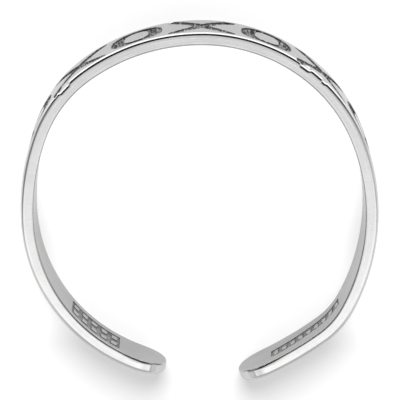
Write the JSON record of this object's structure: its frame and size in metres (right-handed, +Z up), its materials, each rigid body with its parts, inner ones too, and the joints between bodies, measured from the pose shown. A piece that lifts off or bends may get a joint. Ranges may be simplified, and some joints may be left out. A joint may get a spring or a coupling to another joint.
{
  "type": "toe ring",
  "caption": "Open, adjustable toe ring: one flat silver band with rounded ends, crosses and oval rings sunk in its outside, lying on its side.",
  "frame": {"origin": "middle of the bounding box's underside, at the height of the face the ring rests on", "axes": "+Z up, along the hole that the toe goes through; +Y towards the patterned crown; the gap between the ends is towards -Y"},
  "size_m": [0.0166, 0.017, 0.0035],
  "materials": {
    "silver": "polished white silver; the sunk figures' floors are rough and darker"
  },
  "bodies": {
    "root": {"band": "silver"}
  },
  "joints": []
}
